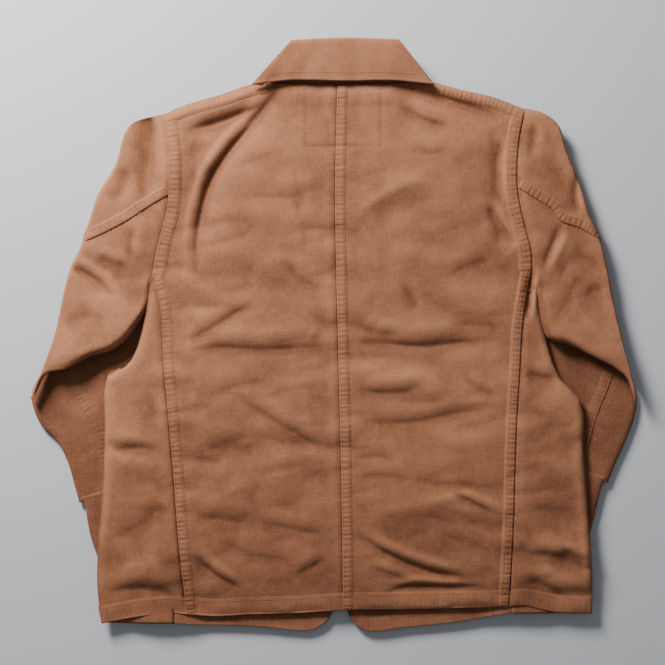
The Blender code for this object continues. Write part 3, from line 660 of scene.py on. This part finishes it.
def seam_band(name, line, width, side, field, body, lift=LAYER, material=DUCK_BAND, puckers=1.0,
              rows=(0, 1), within=None, shade=0.0):
    """A felled band along a line: sharp along the line, soft along its far side, puckered across.

    rows are its stitch rows, 0 beside the line and 1 beside the far side; the band stays inside the
    sleeve edge that within gives, and shade darkens it with painted shade.
    """
    long = length_of(line)
    steps = int(long / 0.0011)
    across = np.array([-0.0001, 0.0002, 0.001, 0.0018, 0.0026, 0.0038, 0.5 * width, width - 0.0036,
                       width - 0.0024, width - 0.0012, width, width + 0.0013, width + 0.0026])
    profile = np.array([-0.9, 0.65, 0.96, 1.0, 0.97, 1.02, 1.05, 1.0, 0.92, 0.86, 0.62, 0.25, -0.12])
    spine = curve(line, steps + 1)
    normal = normals(spine) * side
    run = np.linspace(0, long, steps + 1)
    plan = spine[:, None] + normal[:, None] * across[None, :, None]
    if within is not None:
        limit = curve(within, 200)[::-1]
        edge = np.interp(plan[..., 1], limit[:, 1], limit[:, 0])
        plan[..., 0] = np.where(edge < 0, np.maximum(plan[..., 0], edge), np.minimum(plan[..., 0], edge))
    body_share = np.exp(-(((across - width * 0.4) / (width * 0.26)) ** 2))[None]
    wave = pucker_wave(run[:, None] + 0.1 * across[None], width * 1000) * body_share
    row_at = [STITCH_IN if row == 0 else width - STITCH_IN for row in rows]
    dimple = sum(np.exp(-(((across - offset) / 0.0011) ** 2))[None] for offset in row_at) * (0.35 - wave)
    height = lift * profile[None] + puckers * (0.00055 * wave - 0.0003 * dimple)
    shape = on_field(plan, field)
    shape[..., 2] += height
    ends = smooth(run / 0.003) * smooth((long - run) / 0.003)
    shape[..., 2] -= ((1 - ends) * lift * 0.8)[:, None]
    # painted shade: a dark line in the groove where the band meets its panel, and darker pucker valleys and
    # stitch dimples; the band's own paleness is wear
    seam_line_shade = np.exp(-np.clip(across, 0, 1) / 0.0004)[None]
    wear_and_shade = np.clip(0.24 - shade + puckers * (0.75 * wave - 0.16 * dimple) - 1.1 * seam_line_shade
                   + 0.4 * sample(worn_and_shaded, plan[..., 0], plan[..., 1]), -1, 1)
    hold(cloth_object(name, shape, faces_of(shape, flip=side > 0), material, wear_and_shade=wear_and_shade), body)
    spine = curve(line, 40)
    for offset in row_at:
        stitch(body, spine + normals(spine) * (side * offset), field, lift * 0.96)


threads = {}              # runs of stitches, by the body that they lie on


def stitch(body, points, field, lift):
    """Notes a row of stitches along a line on a field: the two ends of each."""
    long = length_of(points)
    count = max(int(long / STITCH_PITCH), 1)
    fine = curve(points, 400)
    ends = []
    for shift in (0.0, STITCH_LENGTH):
        want = (np.arange(count) * STITCH_PITCH + shift) / long
        spot = np.column_stack([np.interp(want, np.linspace(0, 1, 400), fine[:, k]) for k in (0, 1)])
        ends.append(np.column_stack([spot, sample(field, spot[:, 0], spot[:, 1]) + lift]))
    threads.setdefault(body, []).append(np.stack(ends, axis=1))


def thread_object(body, runs):
    """All the stitches of one body, as small capsules."""
    ends = np.concatenate(runs)
    along = ends[:, 1] - ends[:, 0]
    across = np.cross(along, (0, 0, 1.0))
    across /= np.linalg.norm(across, axis=1)[:, None]
    up = np.cross(across, along)
    up /= np.linalg.norm(up, axis=1)[:, None]
    stations = ((0.0, 0.25), (0.18, 0.9), (0.5, 1.05), (0.82, 0.9), (1.0, 0.25))   # share of length, girth
    sides = 5
    rings = []
    for share, size in stations:
        for angle in 2 * pi * np.arange(sides) / sides:
            spoke = (across * cos(angle) + up * sin(angle)) * STITCH_RADIUS * size
            rings.append(ends[:, 0] + along * share + spoke)
    points = np.stack(rings, axis=1)
    one = faces_of(np.empty((len(stations), sides)), wrap=True)
    faces = (one[None] + (np.arange(len(ends)) * len(rings))[:, None, None]).reshape(-1, 4)
    unworn_unshaded = np.zeros(points.shape[:2])
    hold(cloth_object(f"stitches_{body}", points, faces, THREAD, wear_and_shade=unworn_unshaded), body)


# ---------------------------------------------------------------- torso
def panel_plan(bottom, top, left, right, spacing=0.0021):
    """The plan of a panel between its four edges."""
    columns = int(max(length_of(bottom), length_of(top)) / spacing)
    rows = int(max(length_of(left), length_of(right)) / spacing)
    return coons(bottom, top, left, right, columns, rows)


def back():
    """The two back halves."""
    for side, hem, top, left, right in (
            ("left", LEFT_HEM, LEFT_SHOULDER + LEFT_NECK[1:],
             LEFT_SEAM + LEFT_ARMHOLE[1:], CENTRE_SEAM),
            ("right", RIGHT_HEM, RIGHT_NECK + RIGHT_SHOULDER[1:],
             CENTRE_SEAM, RIGHT_SEAM + RIGHT_ARMHOLE[1:])):
        shape = on_field(panel_plan(hem, top, left, right), top_cloth)
        made = cloth_object(f"back_{side}", shape, faces_of(shape), DUCK, LAYER)
        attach(made, "torso")
        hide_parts(f"back_panel_{side}")


def side_panels():
    """Each side panel: down from the back seam, round the side fold, and in under the body."""
    for side, fold_line, seam, hem_line, hinge, sign in (
            ("left", LEFT_SIDE, LEFT_SEAM, LEFT_SIDE_HEM, HINGE_LEFT, -1),
            ("right", RIGHT_SIDE, RIGHT_SEAM, RIGHT_SIDE_HEM, HINGE_RIGHT, 1)):
        rows = int(length_of(seam) / 0.0028)
        edge, back_line = curve(fold_line, rows + 1), curve(seam, rows + 1)
        reach = (1 - np.cos(np.linspace(0, pi / 2, 34))) ** 0.9
        over = back_line[:, None] + (edge - back_line)[:, None] * (1 - reach[::-1])[None, :, None]
        hem = curve(hem_line, 60)
        bow = np.interp(over[..., 0], *hem.T) - np.interp(over[..., 0], *hem[[0, -1]].T)
        over[..., 1] += bow * (1 - np.linspace(0, 1, rows + 1)[:, None]) ** 6
        top = on_field(over, top_cloth)
        sag = smooth((-0.305 - edge[:, 1]) / 0.04)[:, None]
        inner = np.column_stack([np.full(rows + 1, hinge - sign * 0.001), edge[:, 1]])
        share = (1 - np.cos(np.linspace(0, pi / 2, 26))) ** 0.9
        below = edge[:, None] + (inner - edge)[:, None] * share[None, 1:, None]
        far = np.abs(below[..., 0] - edge[:, None, 0])
        under_z = SIDE_UNDER + LAYER - 0.0072 * sag * (1 - smooth(far / 0.075))
        z = EDGE_Z - (EDGE_Z - under_z) * rounded(far, 0.009)
        shape = np.concatenate([top, np.dstack([below, z])], axis=1)
        made = cloth_object(f"side_{side}", shape, faces_of(shape, flip=sign < 0), DUCK, LAYER)
        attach(made, "torso")
        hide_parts(f"side_panel_{side}")


def neck_patch():
    """The patch inside the neck, and the rectangle that is stitched through from it."""
    low, high = patch_low, patch_high
    u, v = np.meshgrid(np.linspace(low.x, high.x, 46), np.linspace(low.y, high.y, 36))
    shape = on_field(np.dstack([u, v]), top_cloth, -LAYER - 0.0005)
    made = cloth_object("neck_patch_cloth", shape, faces_of(shape), DUCK_INSIDE, LAYER * 0.7)
    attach(made, "torso")
    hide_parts("neck_patch")
    for line in PATCH_SIDES:
        stitch("torso", line, top_cloth, 0.0001)


# ---------------------------------------------------------------- sleeves
def tube(outer, inner, top_field, under_at, edge_at, rows):
    """A flattened sleeve as rings round it, from its outer fold over to its inner fold and back below.

    Its top follows a field; its underside and its folds have the heights that under_at and edge_at
    give for a share of the length and a share of the width.
    """
    a, b = curve(outer, rows + 1)[:, None], curve(inner, rows + 1)[:, None]
    width = np.hypot(*(b - a)[:, 0].T)[:, None]
    down = np.linspace(0, 1, rows + 1)[:, None]
    across = (1 - np.cos(np.linspace(0, pi, 46))) / 2

    def half(shares, level_at):
        plan = a + (b - a) * shares[None, :, None]
        edge = edge_at(down, shares[None])
        near = np.minimum(shares, 1 - shares)[None] * width
        return np.dstack([plan, edge + (level_at(plan, shares[None]) - edge) * rounded(near, SLEEVE_ROUND)])

    return np.concatenate([half(across, lambda plan, _: sample(top_field, plan[..., 0], plan[..., 1])),
                           half(across[::-1][1:-1], lambda _, share: under_at(down, share))], axis=1)


overhang = np.zeros_like(GX)
for line in ([(-0.385, -0.06), (-0.33, -0.02), (-0.272, 0.004)],
             [(0.284, 0.006), (0.335, -0.014), (0.392, -0.056)]):
    over_mask, over_far, _ = along_line(line, 0.09)
    overhang[over_mask] += 0.0075 * np.exp(-((over_far / 0.034) ** 2))
arm_field = lie + folds + wrinkles + overhang
arm_field += pucker_field(ARM_SEAMS)
arm_field -= 0.0016 * smooth(body_far / 0.004 + 0.5)
arm_round = 0.012 + (arm_field - 0.012) * rounded(arm_far, SLEEVE_ROUND)      # for what lies on them


def upper_arms():
    """The upper sleeves: their outer folds hang to the floor beside the body."""
    def edge_at(u, v):
        lying = smooth((u - 0.1) / 0.2) * smooth((0.72 - u) / 0.2) * smooth((0.5 - v) / 0.5)
        return 0.0165 + 0.007 * v * smooth((u - 0.45) / 0.3) - 0.008 * lying

    def under_at(u, v):
        lying = smooth((u - 0.1) / 0.2) * smooth((0.66 - u) / 0.2) * smooth((0.8 - v) / 0.3)
        return ARM_LOW - 0.0105 * lying

    for side, outer, inner, sign in (("left", LEFT_OUTER_ARM, LEFT_INNER_ARM, -1),
                                     ("right", RIGHT_OUTER_ARM, RIGHT_INNER_ARM, 1)):
        shape = tube(outer, inner, arm_field, under_at, edge_at, 150)
        faces = faces_of(shape, wrap=True, flip=sign < 0)
        made = cloth_object(f"upper_sleeve_{side}", shape, faces, DUCK, LAYER * 0.8)
        hold(made, f"upper_arm_{side}")
        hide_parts(f"top_sleeve_upper_{side}", f"under_sleeve_upper_{side}")


fore_cloth = 0.009 + crumple * 0.0002 + swell * 0.0003 + pucker_field(FORE_SEAMS)
for points, depth, width in (
        ([(-350, -70), (-335, -110), (-330, -150)], 1.3, 7),
        ([(-385, -105), (-360, -110), (-340, -130)], 1.2, 6),
        ([(370, -130), (352, -120), (345, -95)], 1.3, 6),
        ([(392, -110), (372, -105), (355, -80)], 1.0, 5)):
    fold(fore_cloth, np.multiply(points, MM), depth * MM, width * MM)
for points in ([(0.316, 0.0), (0.334, -0.06), (0.345, -0.13)],           # sunk beside the body
               [(-0.312, 0.0), (-0.33, -0.05), (-0.342, -0.11)]):
    low_mask, low_far, low_share = along_line(points, 0.05)
    fore_cloth[low_mask] -= 0.0052 * np.exp(-((low_far / 0.019) ** 2)) * smooth((1 - low_share) / 0.35)


def forearms():
    """The forearms, lying under the upper sleeves and the body's sides."""
    for side, outer, inner, sign in (("left", LEFT_OUTER_FORE, LEFT_INNER_FORE, -1),
                                     ("right", RIGHT_OUTER_FORE, RIGHT_INNER_FORE, 1)):
        shape = tube(outer, inner, fore_cloth, lambda u, v: 0.0004, lambda u, v: 0.0052, 90)
        faces = faces_of(shape, wrap=True, flip=sign < 0)
        # painted shade: the forearms lie in the shadow of the upper sleeves and the body, the right one
        # deeper, and more so further up
        shade = (0.85 if side == "right" else 0.55) + 0.6 * smooth((shape[..., 1] + 0.15) / 0.08)
        wear_and_shade = np.clip(sample(worn_and_shaded, shape[..., 0], shape[..., 1]) * 0.3 - shade, -1, 1)
        made = cloth_object(f"forearm_{side}", shape, faces, DUCK, LAYER * 0.8, wear_and_shade=wear_and_shade)
        hold(made, f"forearm_{side}")
        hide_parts(f"top_sleeve_lower_{side}", f"under_sleeve_lower_{side}")


def cuffs():
    """The cuffs: a doubled band with two rows of stitches across it."""
    field = np.full_like(GX, FORE_TOP - 0.0002) + crumple * 0.0001 + swell * 0.0002
    for side, edge, sign in (("left", LEFT_CUFF_EDGE, -1), ("right", RIGHT_CUFF_EDGE, 1)):
        outer = curve(edge, 30)
        down = outer[-1] - outer[0]
        down /= hypot(*down)
        over = np.array([down[1], -down[0]]) * sign
        inner = outer + over * CUFF_WIDTH
        shape = tube(outer, inner, field, lambda u, v: 0.003, lambda u, v: 0.0066, 44)
        faces = faces_of(shape, wrap=True, flip=sign < 0)
        made = cloth_object(f"cuff_band_{side}", shape, faces, DUCK_BAND, LAYER * 1.2)
        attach(made, f"forearm_{side}")
        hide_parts(f"cuff_{side}")
        for at in (0.004, 0.052):
            a = outer[0] + down * at
            spots = [a + over * w for w in (0.008, CUFF_WIDTH / 2, CUFF_WIDTH - 0.008)]
            stitch(f"forearm_{side}", spots, field, 0.0002)


# ---------------------------------------------------------------- collar
def collar():
    """The turned-down collar in one piece: the stand from the neck, the fold, and the fall over it."""
    stand_low = [(-0.106, 0.3355), (0.012, 0.3368), (0.128, 0.3362)]
    fold_top = [(-0.0553, 0.3955), (0.015, 0.3985), (0.0865, 0.3965)]
    fall_edge = [(-0.1093, 0.3355), (-0.06, 0.3412), (0.012, 0.3402), (0.08, 0.3408), (0.134, 0.336)]
    columns = 96
    low, top, edge = (curve(c, columns + 1) for c in (stand_low, fold_top, fall_edge))
    x = np.linspace(0, 1, columns + 1)
    ripple = 0.0006 * np.sin(x * 17 + 1) + 0.0004 * np.sin(x * 41)
    rows = []
    for share in np.linspace(0, 1, 10):
        z = COLLAR_LOW - 0.0004 - 0.0075 * (1 - smooth(share / 0.45))
        rows.append(np.column_stack([low + (top - low) * share * 0.94, np.full(columns + 1, z)]))
    roll = 0.0034
    for angle in np.linspace(-pi / 2, pi / 2, 12)[1:]:
        spot = low + (top - low) * (0.94 + 0.06 * cos(angle))
        z = COLLAR_LOW - 0.0004 + roll * (1 + sin(angle)) * (1 - 0.25 * (np.abs(x - 0.5) * 2) ** 3)
        rows.append(np.column_stack([spot, z]))
    for share in np.linspace(0, 1, 26)[1:]:
        spot = top + (edge - top) * (0.06 + 0.94 * share)
        z = rows[20][:, 2] + 0.0009 * sin(pi * share) + ripple * share - 0.0012 * share**3
        rows.append(np.column_stack([spot, z]))
    shape = np.stack(rows)
    wear_and_shade = np.full(shape.shape[:2], 0.25)
    wear_and_shade[14:22] = 0.8             # painted highlight round the fold
    wear_and_shade[-3:] = 0.75              # along the edge of the fall
    made = cloth_object("collar_cloth", shape, faces_of(shape, flip=True), DUCK_BAND, 0.0018,
                        wear_and_shade=wear_and_shade)
    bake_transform(made)
    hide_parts("top_collar", "under_collar", "collar_stand")
    threads["collar"] = [stitches_on(path + [0, 0, 0.0001])
                         for path in (shape[-6, 6:-6], shape[22:-6, 4], shape[22:-6, -5])]


def stitches_on(path):
    """The two ends of each stitch along a path in space."""
    run = np.concatenate([[0], np.cumsum(np.linalg.norm(np.diff(path, axis=0), axis=1))])
    starts = np.arange(0, run[-1] - STITCH_LENGTH, STITCH_PITCH)
    ends = [np.column_stack([np.interp(starts + shift, run, path[:, k]) for k in range(3)])
            for shift in (0, STITCH_LENGTH)]
    return np.stack(ends, axis=1)


# ---------------------------------------------------------------- fronts
def front_height(x):
    """The fronts' height: level between the sides, and up to their hinges there."""
    inside = np.minimum(x - HINGE_LEFT, HINGE_RIGHT - x)
    return SIDE_UNDER + LAYER - (SIDE_UNDER + LAYER / 2 - FRONT_MID) * smooth(inside / 0.05)


def fronts():
    """The two fronts, whose rounded hems show below the back's."""
    cases = (
        ("left", -0.066, 1,
         [(HINGE_LEFT, -0.383), (-0.195, -0.3856), (-0.134, -0.3873), (-0.093, -0.3897),
          (-0.0527, -0.3939), (-0.036, -0.3945)],
         [(-0.036, -0.3945), (-0.0215, -0.3905), (-0.0095, -0.382), (-0.001, -0.368), (0.004, -0.345),
          (0.0055, -0.31), (0.004, 0.0), (-0.003, 0.285)],
         [(HINGE_LEFT, 0.306), (-0.16, 0.319), (-0.1093, 0.331), (-0.07, 0.297), (-0.003, 0.285)]),
        ("right", 0.086, -1,
         [(HINGE_RIGHT, -0.3682), (0.205, -0.376), (0.146, -0.385), (0.086, -0.3913), (0.06, -0.395)],
         [(0.06, -0.395), (0.043, -0.394), (0.029, -0.385), (0.0205, -0.372), (0.0155, -0.35),
          (0.0125, -0.31), (0.011, 0.0), (0.007, 0.285)],
         [(HINGE_RIGHT, 0.309), (0.19, 0.325), (0.134, 0.331), (0.09, 0.297), (0.007, 0.285)]))
    field = front_height(GX) + swell * 0.0006 + crumple * 0.0002
    for side, facing_x, sense, hem, edge, top in cases:
        hinge_line = [hem[0], (hem[0][0], 0.0), top[0]]
        shape = on_field(panel_plan(hem, top, hinge_line, edge, 0.0034), field)
        faces = faces_of(shape, flip=sense < 0)
        made = cloth_object(f"front_{side}_cloth", shape, faces, DUCK_INSIDE, LAYER)
        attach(made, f"front_{side}")
        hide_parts(f"front_panel_{side}")
        # painted shade on the fronts' hems, which lie under the back's
        seam_band(f"hem_front_{side}", hem + edge[1:4], HEM * 0.8, sense, field, f"front_{side}",
                  lift=0.0009, material=DUCK, puckers=0.5, rows=(1,), shade=0.35)
        strip = [(facing_x, -0.389), (facing_x, -0.2), (facing_x, 0.1), (facing_x + 0.002 * sense, 0.27)]
        stitch(f"front_{side}", strip, field, 0.001)


# ---------------------------------------------------------------- carried-over pieces
def carried_over():
    """CAD pieces whose shape is right get their real finish."""
    for name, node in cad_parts.items():
        if "button" in name or "plate" in name:
            node.data.materials.clear()
            node.data.materials.append(ANTIQUE)
            node.data.set_sharp_from_angle(angle=radians(35))
        elif name.startswith(("lower_pocket", "chest_pocket", "collar_end", "front_facing")):
            node.data.materials.clear()
            node.data.materials.append(DUCK_INSIDE if "facing" in name else DUCK)
            node.data.set_sharp_from_angle(angle=radians(40))


# ---------------------------------------------------------------- stage
def stage():
    """A plain pale floor, soft light from beyond the collar, and a camera straight above."""
    floor_material, tree, shader, _ = new_material("floor")
    feed(tree, shader, {"Base Color": (0.515, 0.53, 0.56, 1), "Roughness": 0.85})
    bpy.ops.mesh.primitive_plane_add(size=30, location=(0, 0, -0.0003))
    floor = bpy.context.object
    floor.name = "floor"
    floor.data.materials.append(floor_material)
    world = bpy.data.worlds.new("studio")
    world.use_nodes = True
    feed(world.node_tree, world.node_tree.nodes["Background"],
         {"Color": (0.93, 0.96, 1.0, 1), "Strength": 0.2})
    bpy.context.scene.world = world
    for name, place, size, power, colour in (      # metres and watts
            ("key", (-0.95, 1.42, 0.95), 0.6, 97, (1.0, 0.985, 0.965)),
            ("fill", (-0.2, 0.6, 2.9), 2.4, 3.5, (0.95, 0.98, 1.0))):
        light = bpy.data.lights.new(name, "AREA")
        light.size = size
        light.energy = power
        light.color = colour
        lamp = bpy.data.objects.new(name, light)
        lamp.location = place
        lamp.rotation_euler = (-Vector(place)).to_track_quat("-Z", "Y").to_euler()
        bpy.context.scene.collection.objects.link(lamp)
    camera = bpy.data.cameras.new("camera")
    camera.sensor_width = SENSOR
    camera.lens = SENSOR * VIEW_DISTANCE / VIEW_WIDTH
    held = bpy.data.objects.new("camera", camera)
    held.location = (-0.0013, 0.0067, VIEW_DISTANCE + JACKET_TOP)
    bpy.context.scene.collection.objects.link(held)
    bpy.context.scene.camera = held


stage()
back()
side_panels()
for seam_name, (line, width, side) in SEAMS.items():
    seam_band(seam_name, line, width, side, top_cloth, "torso")
for seam_name, (line, width, side) in ARM_SEAMS.items():
    seam_band(seam_name, line, width, side, arm_round, seam_name.replace("sleeve_seam", "upper_arm"),
              within=LEFT_OUTER_ARM if "left" in seam_name else RIGHT_OUTER_ARM)
# painted shade on the forearm seams, which lie under the upper sleeves
for seam_name, (line, width, side) in FORE_SEAMS.items():
    seam_band(seam_name, line, width, side, fore_cloth, seam_name.replace("_seam", ""),
              lift=LAYER * 0.5, puckers=0.5, shade=1.05)
# the doubled hem of the back and sides, and the row that holds it
seam_band("hem_back", LEFT_SIDE_HEM + LEFT_HEM[1:] + RIGHT_HEM[1:] + RIGHT_SIDE_HEM[1:], HEM, 1,
          top_cloth, "torso", lift=0.0006, material=DUCK, puckers=0.85, rows=(1,))
neck_patch()
collar()
upper_arms()
forearms()
cuffs()
fronts()
for thread_body, runs in threads.items():
    thread_object(thread_body, runs)
carried_over()
